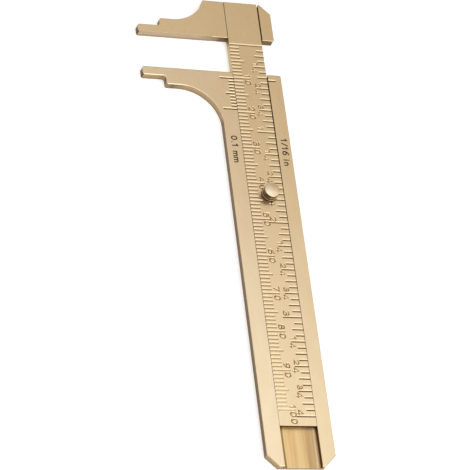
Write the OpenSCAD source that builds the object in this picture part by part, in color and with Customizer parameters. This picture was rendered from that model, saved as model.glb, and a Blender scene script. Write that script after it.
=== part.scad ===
// Brass pocket slide caliper: a flat frame with a fixed jaw and a dovetail groove, and a slide bar
// that carries two scales, the sliding jaw and a thumb stud.
// X runs across the frame, Y along the slide (+Y opens the jaws) and Z out of the scale face.
// The origin lies on the back face, on the groove's centre line, at the fixed measuring face.

/* [Scale] */
// Length of the millimetre scale, which is also the widest jaw opening
scale_length = 100; // [60:10:150]
// Jaw opening in the modelled position
jaw_open = 10.2; // [5:0.1:40]
// Distance from a measuring face to the zero line beside it
zero_drop = 1.9; // [1.6:0.1:2.6]
// Bar left beyond the last millimetre line
tail_margin = 3.9; // [3.4:0.1:10]

/* [Frame] */
// Thickness of the frame and of the sliding jaw
thickness = 2.1; // [1.9:0.05:4]
// Width of the groove at the scale face
groove_width = 9.25; // [8.5:0.05:14]
// Width of the vernier rail, left of the groove
vernier_rail = 4; // [3.2:0.1:8]
// Width of the inch rail, right of the groove
inch_rail = 3.6; // [3.2:0.1:8]
// Metal left under the groove
floor_thickness = 0.85; // [0.75:0.05:1]
// How far each groove flank leans under its rail
dovetail_undercut = 0.35; // [0.1:0.05:0.5]
// Corner chamfers at the frame's tail
tail_chamfer = 2.75; // [1:0.05:3.5]

/* [Jaws] */
// Reach of both jaws from the groove's centre line
jaw_reach = 28.25; // [26:0.25:45]
// Length of the thin nibs at the jaw tips
nib_length = 5.9; // [4:0.1:7]
// Fillet in the step behind each nib
nib_fillet = 0.7; // [0.2:0.05:1]
// Depth of the fixed jaw
fixed_jaw_depth = 4.8; // [3.6:0.05:8]
// Depth of the fixed jaw's nib
fixed_nib_depth = 2.4; // [1.5:0.05:2.8]
// Radius of the sweep from the fixed jaw into the frame
fixed_sweep_radius = 10.5; // [4:0.5:11]
// Depth of the sliding jaw
sliding_jaw_depth = 4.5; // [3.6:0.05:6]
// Depth of the sliding jaw's nib
sliding_nib_depth = 2.3; // [1.5:0.05:2.6]

/* [Sliding jaw block] */
// Length of the block along the slide bar
block_length = 10.95; // [9:0.05:14]
// Distance from the centre line to the block's top left corner
block_left = 10.2; // [8:0.05:12]
// Radius of the sweep from the block into the sliding jaw
sliding_sweep_radius = 9; // [7.5:0.5:10]
// Width of the block right of its groove
block_wing = 3.2; // [2:0.1:6]
// Chamfer on the block's free corner
block_chamfer = 2.7; // [0.5:0.1:2.8]

/* [Slide bar fit] */
// Running clearance at the guiding left flank
guide_clearance = 0.03; // [0.02:0.01:0.1]
// Open gap at the right flank
right_gap = 0.22; // [0.05:0.01:0.3]
// Running clearance under the bar
floor_clearance = 0.05; // [0.03:0.01:0.1]
// How far the bar's end stands out of the frame when the jaws are closed
bar_overhang = 0.2; // [0:0.05:0.5]

/* [Graduations] */
// Width of an engraved line
line_width = 0.16; // [0.1:0.01:0.2]
// Depth of an engraved line
line_depth = 0.08; // [0.04:0.01:0.15]
// Length of a millimetre line
mm_line = 2.5; // [1.5:0.05:3]
// Length of a five millimetre line
five_mm_line = 3.4; // [2:0.05:4]
// Length of a ten millimetre line
ten_mm_line = 4.5; // [3:0.05:5]
// Length of a sixteenth inch line
sixteenth_line = 1.95; // [1.5:0.05:2.6]
// Length of an eighth inch line
eighth_line = 2.65; // [2:0.05:3.2]
// Length of a quarter inch line
quarter_line = 3.3; // [2.5:0.05:3.6]
// Length of a whole inch line
inch_line = 4.6; // [3:0.05:4.8]
// Length of a vernier line
vernier_line = 1.5; // [1:0.05:2]
// Length of the vernier's half way line
vernier_half_line = 2.5; // [1.5:0.05:2.8]
// Length of the vernier's first and last line
vernier_end_line = 3.7; // [2:0.05:3.9]
// Length of the inch index line
inch_index_line = 2; // [1:0.05:2.8]

/* [Thumb stud] */
// Distance from the zero line to the stud
stud_station = 43.1; // [20:0.1:50]
// Offset of the stud to the right of the centre line
stud_offset = 0.65; // [-0.8:0.05:0.8]
// Diameter of the flange that seats on the bar
stud_flange_diameter = 4; // [3:0.1:5]
// Thickness of the flange
stud_flange_height = 0.75; // [0.4:0.05:1.2]
// Diameter of the finger groove above the flange
stud_groove_diameter = 2.9; // [2:0.1:2.9]
// Width of the finger groove
stud_groove_height = 0.7; // [0.4:0.05:1.5]
// Diameter of the head
stud_head_diameter = 3.8; // [3:0.1:5]
// Height of the head with its dome
stud_head_height = 1.25; // [0.8:0.05:2]
// Rise of the dome
stud_dome = 0.35; // [0.1:0.05:0.45]
// Chamfer under the head
stud_head_chamfer = 0.25; // [0.05:0.05:0.3]
// Diameter of the shank riveted into the bar
stud_shank_diameter = 1.6; // [1:0.1:2]

/* [Hidden fittings] */
// Diameter of the rivets that join bar and sliding jaw
rivet_diameter = 1.6; // [1:0.1:2.5]
// Distance between the two rivets
rivet_spacing = 5.4; // [4:0.1:6]
// Bar metal left above each rivet
rivet_skin = 0.5; // [0.3:0.05:0.6]
// Diameter of the stop pin
stop_pin_diameter = 1; // [0.8:0.05:1.3]
// Distance from the fixed measuring face to the stop pin
stop_inset = 3; // [2:0.1:3.4]
// Offset of the stop pin to the left of the centre line
stop_offset = 2.9; // [2.5:0.1:3.2]
// Height of the stop pin above the bar's underside
stop_reach = 0.35; // [0.2:0.05:0.4]
// Room around and above the stop pin in its slot
stop_clearance = 0.15; // [0.1:0.01:0.2]
// Length of the friction spring
spring_length = 16; // [10:0.5:24]
// Width of the friction spring
spring_width = 3; // [2:0.1:4]
// Thickness of the spring strip
spring_thickness = 0.2; // [0.1:0.02:0.24]
// Depth of the spring's pocket in the groove floor
spring_pocket_depth = 0.4; // [0.35:0.05:0.5]
// Room around the spring in its pocket
spring_clearance = 0.2; // [0.1:0.05:0.4]
// Running clearance between the spring's crown and the bar
spring_running_clearance = 0.02; // [0.01:0.01:0.05]
// Distance from the fixed measuring face to the spring's pocket
spring_inset = 6; // [4:0.5:20]

/* [Hidden] */
$fn = 96;
brass = [0.80, 0.69, 0.50];
polished_brass = [0.87, 0.76, 0.57];
bronze = [0.62, 0.42, 0.24];
overcut = 0.5;
bow_facets = 900;
mm_per_inch = 25.4;
sixteenth = mm_per_inch / 16;
vernier_steps = 10;
vernier_pitch = 0.9;

bar_reach = zero_drop + scale_length + tail_margin;
frame_length = bar_reach - bar_overhang;
groove_left = -groove_width / 2;
groove_right = groove_width / 2;
frame_left = groove_left - vernier_rail;
frame_right = groove_right + inch_rail;
flank_lean = dovetail_undercut / (thickness - floor_thickness);

bar_left = groove_left + guide_clearance;
bar_right = groove_right - right_gap;
bar_bottom = floor_thickness + floor_clearance;
bar_tail = jaw_open - bar_reach;
block_top = jaw_open + block_length;
block_right = groove_right + block_wing;
zero_y = jaw_open - zero_drop;
sixteenths = floor((scale_length + tail_margin / 2) / sixteenth);

jaw_tip = -jaw_reach;
nib_step = jaw_tip + nib_length;
sweep_rise = block_length - sliding_jaw_depth;
sweep_run = sqrt(pow(sliding_sweep_radius, 2) - pow(sliding_sweep_radius - sweep_rise, 2));
sweep_x = -block_left - sweep_run;

stud_y = zero_y - stud_station;
stud_dome_radius = (pow(stud_head_diameter / 2, 2) + pow(stud_dome, 2)) / (2 * stud_dome);
stud_head_z = thickness + stud_flange_height + stud_groove_height;
stud_top = stud_head_z + stud_head_height;

rivet_top = thickness - rivet_skin;
rivet_middle = jaw_open + block_length / 2;
stop_pin_top = bar_bottom + stop_reach;
stop_slot_width = stop_pin_diameter + 2 * stop_clearance;
stop_slot_end = stop_pin_diameter / 2 + floor_clearance;
stop_slot_head = jaw_open - stop_inset + stop_slot_end;
stop_slot_tail = jaw_open - stop_inset - scale_length - stop_slot_end;

spring_seat = floor_thickness - spring_pocket_depth;
spring_crown = bar_bottom - spring_running_clearance;
spring_y = -spring_inset - spring_clearance - spring_length / 2;
spring_bow = spring_crown - spring_thickness - spring_seat;
spring_inner_radius = (pow(spring_length / 2, 2) + pow(spring_bow, 2)) / (2 * spring_bow);

// X of a dovetail flank at height z; side is -1 on the left and 1 on the right
function flank(x, side, z) = x + side * flank_lean * (thickness - z);

// Length of the line at a number of millimetres
function mm_mark(n) = n % 10 == 0 ? ten_mm_line : n % 5 == 0 ? five_mm_line : mm_line;

// Length of the line at a number of sixteenths of an inch
function inch_mark(n) = n % 16 == 0 ? inch_line : n % 4 == 0 ? quarter_line
    : n % 2 == 0 ? eighth_line : sixteenth_line;

// Length of a vernier line
function vernier_mark(n) = n % vernier_steps == 0 ? vernier_end_line
    : n % (vernier_steps / 2) == 0 ? vernier_half_line : vernier_line;

// Prism with leaning flanks, along Y
module dovetail(left, right, bottom, top, y0, y1) {
    section = [
        [flank(left, -1, bottom), bottom],
        [flank(right, 1, bottom), bottom],
        [flank(right, 1, top), top],
        [flank(left, -1, top), top]
    ];
    translate([0, y1, 0])
        rotate([90, 0, 0])
            linear_extrude(height = y1 - y0)
                polygon(section);
}

// Groove cut with its floor at a given height
module groove(bottom, y0, y1) {
    dovetail(groove_left, groove_right, bottom, thickness + overcut, y0, y1);
}

// One engraved line from x0 to x1, to be cut out of the scale face
module engraved_line(x0, x1, y) {
    translate([x0, y - line_width / 2, thickness - line_depth])
        cube([x1 - x0, line_width, line_depth + overcut]);
}

// Square with a round taken out: fills the corner at its upper right
module corner_fillet(radius) {
    difference() {
        translate([-radius, -radius])
            square(radius);
        translate([-radius, -radius])
            circle(radius);
    }
}

// Outline of the frame and its fixed jaw
module frame_outline() {
    polygon([
        [frame_left, 0],
        [frame_left, tail_chamfer - frame_length],
        [frame_left + tail_chamfer, -frame_length],
        [frame_right - tail_chamfer, -frame_length],
        [frame_right, tail_chamfer - frame_length],
        [frame_right, 0]
    ]);
    translate([nib_step, -fixed_jaw_depth])
        square([frame_left - nib_step, fixed_jaw_depth]);
    translate([jaw_tip, -fixed_nib_depth])
        square([nib_length, fixed_nib_depth]);
    translate([nib_step, -fixed_nib_depth])
        corner_fillet(nib_fillet);
    translate([frame_left, -fixed_jaw_depth])
        corner_fillet(fixed_sweep_radius);
}

// Outline of the sliding jaw with its block
module sliding_jaw_outline() {
    difference() {
        translate([nib_step, jaw_open])
            square([block_right - nib_step, block_length]);
        translate([nib_step - overcut, jaw_open + sliding_jaw_depth])
            square([sweep_x - nib_step + overcut, block_length]);
        translate([sweep_x, jaw_open + sliding_jaw_depth + sliding_sweep_radius])
            circle(sliding_sweep_radius);
        polygon([
            [block_right - block_chamfer, block_top],
            [block_right + overcut, block_top - block_chamfer - overcut],
            [block_right + overcut, block_top]
        ]);
    }
    translate([jaw_tip, jaw_open])
        square([nib_length, sliding_nib_depth]);
    translate([nib_step, jaw_open + sliding_nib_depth])
        mirror([0, 1])
            corner_fillet(nib_fillet);
}

// Vernier beside the millimetre scale and the index line of the inch scale
module frame_lines() {
    for (n = [0 : vernier_steps])
        engraved_line(groove_left - vernier_mark(n), groove_left + overcut, -zero_drop - n * vernier_pitch);
    engraved_line(groove_right - overcut, groove_right + inch_index_line, -zero_drop);
}

module frame() {
    color(brass)
        difference() {
            linear_extrude(height = thickness)
                frame_outline();
            groove(floor_thickness, -frame_length - overcut, overcut);
            frame_lines();
            translate([-spring_width / 2 - spring_clearance, spring_y - spring_length / 2 - spring_clearance,
                       spring_seat])
                cube([spring_width + 2 * spring_clearance, spring_length + 2 * spring_clearance, thickness]);
            translate([-stop_offset, -stop_inset, -overcut])
                cylinder(d = stop_pin_diameter, h = thickness);
        }
}

// Millimetre lines on the bar's left edge, inch lines on its right, and the common zero line
module bar_lines() {
    engraved_line(bar_left - overcut, bar_right + overcut, zero_y);
    for (n = [1 : scale_length])
        engraved_line(bar_left - overcut, bar_left + mm_mark(n), zero_y - n);
    for (n = [1 : sixteenths])
        engraved_line(bar_right - inch_mark(n), bar_right + overcut, zero_y - n * sixteenth);
}

// Slot under the bar in which the stop pin runs
module stop_slot() {
    translate([-stop_offset - stop_slot_width / 2, stop_slot_tail, 0])
        cube([stop_slot_width, stop_slot_head - stop_slot_tail, stop_pin_top + stop_clearance]);
}

module slide_bar() {
    color(brass)
        difference() {
            dovetail(bar_left, bar_right, bar_bottom, thickness, bar_tail, block_top);
            bar_lines();
            stop_slot();
            jaw_rivet_pair();
            translate([stud_offset, stud_y, 0])
                cylinder(d = stud_shank_diameter, h = thickness + overcut);
        }
}

module sliding_jaw() {
    color(brass)
        difference() {
            linear_extrude(height = thickness)
                sliding_jaw_outline();
            groove(bar_bottom, jaw_open - overcut, block_top + overcut);
            translate([0, 0, -overcut])
                jaw_rivet_pair();
        }
}

// Two rivets from the back, through the jaw's floor into blind holes in the bar
module jaw_rivet_pair() {
    for (side = [-1, 1])
        translate([0, rivet_middle + side * rivet_spacing / 2, 0])
            cylinder(d = rivet_diameter, h = rivet_top);
}

module jaw_rivets() {
    color(brass)
        jaw_rivet_pair();
}

// Turned stud: riveted shank, flange, finger groove and domed head
module thumb_stud() {
    color(polished_brass)
        translate([stud_offset, stud_y, 0]) {
            translate([0, 0, bar_bottom])
                cylinder(d = stud_shank_diameter, h = thickness - bar_bottom);
            translate([0, 0, thickness])
                cylinder(d = stud_flange_diameter, h = stud_flange_height);
            translate([0, 0, thickness])
                cylinder(d = stud_groove_diameter, h = stud_head_z - thickness);
            translate([0, 0, stud_head_z])
                stud_head();
        }
}

module stud_head() {
    intersection() {
        union() {
            cylinder(d1 = stud_head_diameter - 2 * stud_head_chamfer, d2 = stud_head_diameter,
                     h = stud_head_chamfer);
            translate([0, 0, stud_head_chamfer])
                cylinder(d = stud_head_diameter, h = stud_head_height - stud_head_chamfer);
        }
        translate([0, 0, stud_head_height - stud_dome_radius])
            sphere(r = stud_dome_radius);
    }
}

// Bowed strip that lies in its pocket and bears on the bar's underside
module friction_spring() {
    outer_radius = spring_inner_radius + spring_thickness;
    color(bronze)
        translate([0, spring_y, spring_crown - outer_radius])
            intersection() {
                rotate([0, 90, 0])
                    difference() {
                        cylinder(r = outer_radius, h = spring_width, center = true, $fn = bow_facets);
                        cylinder(r = spring_inner_radius, h = spring_width + 2 * overcut, center = true,
                                 $fn = bow_facets);
                    }
                translate([-spring_width / 2 - overcut, -spring_length / 2, 0])
                    cube([spring_width + 2 * overcut, spring_length, outer_radius + overcut]);
            }
}

// Pin pressed into the groove floor, which keeps the bar from leaving the frame
module stop_pin() {
    color(bronze)
        translate([-stop_offset, -stop_inset, 0])
            cylinder(d = stop_pin_diameter, h = stop_pin_top);
}

frame();
slide_bar();
sliding_jaw();
jaw_rivets();
thumb_stud();
friction_spring();
stop_pin();
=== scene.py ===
"""Looks of the brass pocket slide caliper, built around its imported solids."""
import math

import bmesh
import bpy
from mathutils import Matrix, Vector


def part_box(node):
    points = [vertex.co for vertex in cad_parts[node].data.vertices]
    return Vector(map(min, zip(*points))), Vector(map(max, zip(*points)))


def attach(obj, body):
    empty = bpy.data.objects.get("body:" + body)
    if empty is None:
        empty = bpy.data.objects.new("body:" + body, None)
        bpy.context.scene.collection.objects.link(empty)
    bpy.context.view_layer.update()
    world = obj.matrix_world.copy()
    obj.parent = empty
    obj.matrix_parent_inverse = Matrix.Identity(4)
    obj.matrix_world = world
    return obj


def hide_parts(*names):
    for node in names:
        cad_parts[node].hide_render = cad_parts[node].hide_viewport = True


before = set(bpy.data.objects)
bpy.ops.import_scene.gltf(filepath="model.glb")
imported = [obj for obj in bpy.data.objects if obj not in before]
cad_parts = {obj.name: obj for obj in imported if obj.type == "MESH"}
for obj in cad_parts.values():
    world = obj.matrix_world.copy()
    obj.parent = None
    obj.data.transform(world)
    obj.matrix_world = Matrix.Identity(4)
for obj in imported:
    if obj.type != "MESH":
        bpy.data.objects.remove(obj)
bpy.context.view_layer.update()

MM = 0.001

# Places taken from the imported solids
plate_low, plate_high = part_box("frame")
bar_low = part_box("slide_bar")[0]
jaw_low, jaw_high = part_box("sliding_jaw")
stud_low, stud_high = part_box("thumb_stud")
rivet_low, rivet_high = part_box("jaw_rivets")
pin_low, pin_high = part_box("stop_pin")
spring_low, spring_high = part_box("friction_spring")
FACE = plate_high.z
FRAME_TAIL = plate_low.y
FRAME_RIGHT = plate_high.x
JAW_TIP = plate_low.x
JAW_OPEN = jaw_low.y
BLOCK_TOP = jaw_high.y
BLOCK_RIGHT = jaw_high.x
BAR_TAIL = bar_low.y
BAR_BOTTOM = bar_low.z

# Plate sections
GROOVE_WIDTH = 9.25 * MM
VERNIER_RAIL = 4.0 * MM
GROOVE_FLOOR = 0.85 * MM
UNDERCUT = 0.35 * MM
GUIDE_CLEARANCE = 0.03 * MM
RIGHT_GAP = 0.22 * MM
TAIL_CHAMFER = 2.75 * MM
GROOVE_LEFT = -GROOVE_WIDTH / 2
GROOVE_RIGHT = GROOVE_WIDTH / 2
FRAME_LEFT = GROOVE_LEFT - VERNIER_RAIL
BAR_LEFT = GROOVE_LEFT + GUIDE_CLEARANCE
BAR_RIGHT = GROOVE_RIGHT - RIGHT_GAP
FLANK_LEAN = UNDERCUT / (FACE - GROOVE_FLOOR)
# Gaps beside the bar: the place along it, then the gap on its left and on its right
BAR_GAPS = (
    (BAR_TAIL, 0.02 * MM, 0.02 * MM),
    (-86.0 * MM, 0.09 * MM, 0.03 * MM),
    (-35.0 * MM, 0.1 * MM, 0.12 * MM),
    (-18.0 * MM, 0.09 * MM, 0.23 * MM),
    (0.0, 0.08 * MM, 0.28 * MM),
    (BLOCK_TOP, 0.1 * MM, 0.3 * MM),
)
BAR_STEP = 2.1 * MM
BAR_COLUMNS = (-2.15 * MM, -0.05 * MM, 2.05 * MM)

# Jaws
NIB_LENGTH = 5.9 * MM
NIB_FILLET = 0.7 * MM
FIXED_JAW_DEPTH = 4.8 * MM
FIXED_NIB_DEPTH = 2.4 * MM
FIXED_SWEEP = 10.5 * MM
SLIDING_JAW_DEPTH = 4.5 * MM
SLIDING_NIB_DEPTH = 2.3 * MM
SLIDING_SWEEP = 9.0 * MM
BLOCK_LEFT = 10.2 * MM
BLOCK_CHAMFER = 2.7 * MM
NIB_STEP = JAW_TIP + NIB_LENGTH

# Thumb stud
SHANK = 0.8 * MM
FLANGE = 2.02 * MM
FLANGE_FOOT = 2.08 * MM
FLANGE_TOP = FACE + 0.75 * MM
NECK = 1.45 * MM
HEAD = 1.87 * MM
HEAD_LOW = FLANGE_TOP + 0.7 * MM
HEAD_TOP = stud_high.z
LIP = 0.12 * MM
DOME = 0.14 * MM
LIP_STEPS = 5
HEAD_STEPS = 6
DOME_STEPS = 8
STUD_SHARP_ANGLE = math.radians(40)

# Hidden pieces
PIN_HOLE_ROOM = 1.04
RIVET_HOLE_ROOM = 1.03
RIVET_END_SHARE = 0.9
RIVET_EDGE = 0.04 * MM
RIVET_STEPS = 48
POCKET_ROOM = 0.2 * MM
STOP_SLOT_LOW = -93.35 * MM
STOP_SLOT_HIGH = 7.75 * MM
STOP_SLOT_TOP = 1.4 * MM
STOP_SLOT_ROOM = 0.15 * MM

# Rounded edges
LARGEST_ROUND = 0.6 * MM
CORNER_ROOM = 3
OUTER_SHARE = 0.4
SIDE_SHARE = 0.16
JAW_FRONT_SHARE = 0.19
BACK_SHARE = 0.08
SEAM_SHARE = 0.07
JAW_SEAM_SHARE = 0.14
BAR_SHARE = 0.093
ROUND_STEPS = 6
CLOSE = 0.03 * MM
UPRIGHT = 0.9
SHARP_ANGLE = math.radians(17)
SQUARE_CORNER = math.radians(60)
SWEEP_STEPS = 40
FILLET_STEPS = 12
TURN_STEPS = 72

# How far a face of a round must turn before it takes another metal
# Along the sliding jaw's front left of this place, more of the round takes the edge metal: painted shade in
# place of a highlight. The place is also a point of that jaw's outline.
SHADED_FRONT_END = -9.0 * MM
SHADED_FRONT_TILT = -0.3
# Other front rounds steeper than this take the edge metal too: painted shade that dims their highlight
FRONT_TILT = -0.85
SIDE_TILT = 0.2
# Rounds facing back or right more than this take the rim metal, a painted grey reflection
RIM_TILT = 0.15

# Places in the lists of metals
FACE_METAL, GROOVE_METAL, EDGE_METAL, RIM_METAL = range(4)
BAR_FACE_METAL, FLANK_METAL, UPPER_END_METAL, TAIL_END_METAL = range(4)
WALL_METAL, STROKE_FLOOR_METAL = range(2)

# Scales
ZERO_DROP = 1.9 * MM
ZERO_Y = JAW_OPEN - ZERO_DROP
INCH = 25.4 * MM
SIXTEENTH = INCH / 16
VERNIER_PITCH = 0.9 * MM
LINE_FAR = 0.46 * MM
LINE_NEAR = 0.2 * MM
LINE_FLOOR = 0.3 * MM
INCH_LINE_FLOOR = LINE_FLOOR * 1.1
DARK_LINE_FLOOR = LINE_FLOOR * 1.4
LINE_DEPTH = 0.11 * MM
DEEP_LINE = 0.13 * MM
OVERRUN = 0.5 * MM
MM_LINE = 2.5 * MM
FIVE_MM_LINE = 3.4 * MM
TEN_MM_LINE = 4.5 * MM
SIXTEENTH_LINE = 1.95 * MM
EIGHTH_LINE = 2.65 * MM
QUARTER_LINE = 3.3 * MM
INCH_LINE = 4.6 * MM
VERNIER_LINE = 1.5 * MM
VERNIER_HALF_LINE = 2.5 * MM
VERNIER_END_LINE = 3.7 * MM
INDEX_LINE = 2.0 * MM

# Numbers and signs: a size is a height and a unit of breadth, a pen is a width and a depth
MM_BASE = BAR_LEFT + 3.12 * MM
MM_SIZE = (1.38 * MM, 1.52 * MM)
INCH_BASE = BAR_RIGHT - 4.2 * MM
INCH_SIZE = (1.35 * MM, 1.7 * MM)
NUMERATOR_BASE = BAR_RIGHT - 3.27 * MM
NUMERATOR_SIZE = (1.15 * MM, 1.45 * MM)
DENOMINATOR_BASE = BAR_RIGHT - 3.85 * MM
DENOMINATOR_SIZE = (1.35 * MM, 1.6 * MM)
ABOVE_LINE = 1.28 * MM
ONE_ABOVE_LINE = 0.85 * MM
NUMERATOR_ABOVE_LINE = 1.05 * MM
BELOW_LINE = 1.07 * MM
DENOMINATOR_BELOW_LINE = 0.9 * MM
NEXT_DIGIT = 1.7 * MM
NUMBER_PEN = (0.46 * MM, 0.085 * MM)
FRACTION_PEN = (0.4 * MM, 0.09 * MM)
QUARTER_PEN = (0.38 * MM, 0.14 * MM)
SIGN_PEN = (0.3 * MM, 0.12 * MM)
STROKE_FLOOR = 0.34
STROKE_RISE = 0.015 * MM
SIGN_TOP = -18.5 * MM
SIGN_SIZE = (1.42 * MM, 1.42 * MM)
VERNIER_SIGN_BASE = GROOVE_LEFT - 2.6 * MM
INCH_SIGN_BASE = GROOVE_RIGHT + 1.2 * MM


def arc(centre_x, centre_y, radius_x, radius_y, start, end, steps):
    """Points along an ellipse from one angle to another, in degrees."""
    points = []
    for step in range(steps + 1):
        angle = math.radians(start + (end - start) * step / steps)
        points.append((centre_x + radius_x * math.cos(angle), centre_y + radius_y * math.sin(angle)))
    return points


def flank(x, side, z):
    """X of a dovetail flank at height z; side is -1 on the left and 1 on the right."""
    return x + side * FLANK_LEAN * (FACE - z)


# Mesh helpers


def add_object(name, shape, *materials):
    """A mesh object from a bmesh, with its faces turned outwards."""
    bmesh.ops.recalc_face_normals(shape, faces=shape.faces)
    mesh = bpy.data.meshes.new(name)
    shape.to_mesh(mesh)
    shape.free()
    for material in materials:
        mesh.materials.append(material)
    piece = bpy.data.objects.new(name, mesh)
    bpy.context.scene.collection.objects.link(piece)
    return piece


def settle(piece):
    """Turns the piece's modifiers into its own plain mesh."""
    graph = bpy.context.evaluated_depsgraph_get()
    mesh = bpy.data.meshes.new_from_object(piece.evaluated_get(graph))
    piece.modifiers.clear()
    spent = piece.data
    piece.data = mesh
    bpy.data.meshes.remove(spent)


def discard(piece):
    """Removes a helper object and its mesh."""
    mesh = piece.data
    bpy.data.objects.remove(piece)
    bpy.data.meshes.remove(mesh)


def cut(piece, cutters):
    """Takes the cutters out of a piece; their materials stay on the cut faces."""
    bin_of_cutters = bpy.data.collections.new("cutters")
    for cutter in cutters:
        bin_of_cutters.objects.link(cutter)
    modifier = piece.modifiers.new("cut", "BOOLEAN")
    modifier.operation = "DIFFERENCE"
    modifier.solver = "MANIFOLD"
    modifier.material_mode = "TRANSFER"
    modifier.operand_type = "COLLECTION"
    modifier.collection = bin_of_cutters
    settle(piece)
    for cutter in cutters:
        discard(cutter)
    bpy.data.collections.remove(bin_of_cutters)


def shade(piece):
    """Smooth along the sweeps and rounds, flat on the faces, crisp at every cut."""
    piece.data.shade_smooth()
    piece.data.set_sharp_from_angle(angle=SHARP_ANGLE)
    modifier = piece.modifiers.new("flats", "WEIGHTED_NORMAL")
    modifier.keep_sharp = True
    settle(piece)


def round_edges(piece, share_of_round):
    """Rounds the piece's edges; share_of_round gives each edge's part of the largest round."""
    shape = bmesh.new()
    shape.from_mesh(piece.data)
    weights = shape.edges.layers.float.new("bevel_weight_edge")
    for edge in shape.edges:
        edge[weights] = share_of_round(edge)
    shape.to_mesh(piece.data)
    shape.free()
    modifier = piece.modifiers.new("rounds", "BEVEL")
    modifier.limit_method = "WEIGHT"
    modifier.width = LARGEST_ROUND
    modifier.segments = ROUND_STEPS
    modifier.use_clamp_overlap = False
    modifier.material = FACE_METAL
    settle(piece)


def block_cutter(name, low, high, material):
    """A plain box to cut a pocket with."""
    shape = bmesh.new()
    bmesh.ops.create_cube(shape, size=1)
    middle = (low + high) / 2
    for vertex in shape.verts:
        vertex.co = middle + Vector([(high - low)[i] * vertex.co[i] for i in range(3)])
    return add_object(name, shape, material)


def slot_cutter(name, x, y_low, y_high, radius, z_low, z_high, material):
    """A round ended slot along Y."""
    outline = arc(x, y_high - radius, radius, radius, 0, 180, FILLET_STEPS)
    outline += arc(x, y_low + radius, radius, radius, 180, 360, FILLET_STEPS)
    shape = bmesh.new()
    rings = [[shape.verts.new((px, py, z)) for px, py in outline] for z in (z_low, z_high)]
    for ring in rings:
        shape.faces.new(ring)
    for i in range(len(outline)):
        after = (i + 1) % len(outline)
        shape.faces.new((rings[0][i], rings[0][after], rings[1][after], rings[1][i]))
    return add_object(name, shape, material)


def turned(name, profile, axis, material, steps=TURN_STEPS):
    """A turned piece: profile runs from the axis at the bottom to the axis at the top, as (radius, z)."""
    shape = bmesh.new()
    rings = []
    for radius, z in profile:
        if radius == 0:
            rings.append([shape.verts.new((axis[0], axis[1], z))])
            continue
        ring = []
        for x, y in arc(axis[0], axis[1], radius, radius, 0, 360, steps)[:-1]:
            ring.append(shape.verts.new((x, y, z)))
        rings.append(ring)
    for lower, upper in zip(rings, rings[1:]):
        for step in range(steps):
            after = (step + 1) % steps
            corners = [lower[step % len(lower)], lower[after % len(lower)],
                       upper[after % len(upper)], upper[step % len(upper)]]
            shape.faces.new(list(dict.fromkeys(corners)))
    return add_object(name, shape, material)


def hole_cutter(name, axis, radius, material):
    """A rod that drills a hole through a plate."""
    return turned(name, [(0, -FACE), (radius, -FACE), (radius, FACE), (0, FACE)], axis, material)


# Materials: scales of the noise along X, Y and Z, in cycles per metre

EVEN = (3000.0, 3000.0, 3000.0)
LENGTHWISE = (6000.0, 150.0, 6000.0)
CROSSWISE = (160.0, 7000.0, 7000.0)
GRINDING = (7000.0, 220.0, 7000.0)
CLOUDS = (260.0, 110.0, 260.0)
STREAKS = (1500.0, 40.0, 1500.0)
MILLING = (6000.0, 110.0, 6000.0)
FILE_MARKS = (160.0, 160.0, 7000.0)
SMUDGES = (600.0, 600.0, 600.0)
RINGS = 1500.0


def new_material(name, metallic):
    """A node material with its principled shader."""
    material = bpy.data.materials.new(name)
    material.use_nodes = True
    nodes = material.node_tree.nodes
    shader = nodes["Principled BSDF"]
    shader.inputs["Metallic"].default_value = metallic
    return material, nodes, material.node_tree.links, shader


def grain(nodes, links, scale, detail=3.0):
    """Noise stretched by a different scale along each axis."""
    place = nodes.new("ShaderNodeTexCoord")
    mapping = nodes.new("ShaderNodeMapping")
    mapping.inputs["Scale"].default_value = scale
    noise = nodes.new("ShaderNodeTexNoise")
    noise.inputs["Scale"].default_value = 1.0
    noise.inputs["Detail"].default_value = detail
    links.new(place.outputs["Object"], mapping.inputs["Vector"])
    links.new(mapping.outputs["Vector"], noise.inputs["Vector"])
    return noise.outputs["Fac"]


def tint(nodes, links, shader, factor, *stops):
    """Base colour from a factor; stops are (position, colour)."""
    node = nodes.new("ShaderNodeValToRGB")
    while len(node.color_ramp.elements) < len(stops):
        node.color_ramp.elements.new(1.0)
    for element, (position, colour) in zip(node.color_ramp.elements, stops):
        element.position = position
        element.color = (*colour, 1.0)
    links.new(factor, node.inputs["Fac"])
    links.new(node.outputs["Color"], shader.inputs["Base Color"])


def gloss(nodes, links, shader, factor, low, high):
    """Roughness from low to high over a factor's middle range."""
    node = nodes.new("ShaderNodeMapRange")
    node.inputs["From Min"].default_value = 0.3
    node.inputs["From Max"].default_value = 0.7
    node.inputs["To Min"].default_value = low
    node.inputs["To Max"].default_value = high
    links.new(factor, node.inputs["Value"])
    links.new(node.outputs["Result"], shader.inputs["Roughness"])


def relief(nodes, links, shader, factor, height):
    """Fine relief from a factor."""
    bump = nodes.new("ShaderNodeBump")
    bump.inputs["Strength"].default_value = 1.0
    bump.inputs["Distance"].default_value = height
    links.new(factor, bump.inputs["Height"])
    links.new(bump.outputs["Normal"], shader.inputs["Normal"])


def object_axis(nodes, links, axis, low, high):
    """A factor that runs from 0 to 1 between two places along an axis of the object."""
    place = nodes.new("ShaderNodeTexCoord")
    split = nodes.new("ShaderNodeSeparateXYZ")
    links.new(place.outputs["Object"], split.inputs[0])
    node = nodes.new("ShaderNodeMapRange")
    node.inputs["From Min"].default_value = low
    node.inputs["From Max"].default_value = high
    links.new(split.outputs[axis], node.inputs["Value"])
    return node.outputs["Result"]


def blend(nodes, links, first, share, second, second_share):
    """Sum of two factors, each with its share."""
    scaled = nodes.new("ShaderNodeMath")
    scaled.operation = "MULTIPLY"
    links.new(second, scaled.inputs[0])
    scaled.inputs[1].default_value = second_share
    node = nodes.new("ShaderNodeMath")
    node.operation = "MULTIPLY_ADD"
    links.new(first, node.inputs[0])
    node.inputs[1].default_value = share
    links.new(scaled.outputs[0], node.inputs[2])
    return node.outputs[0]


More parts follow.
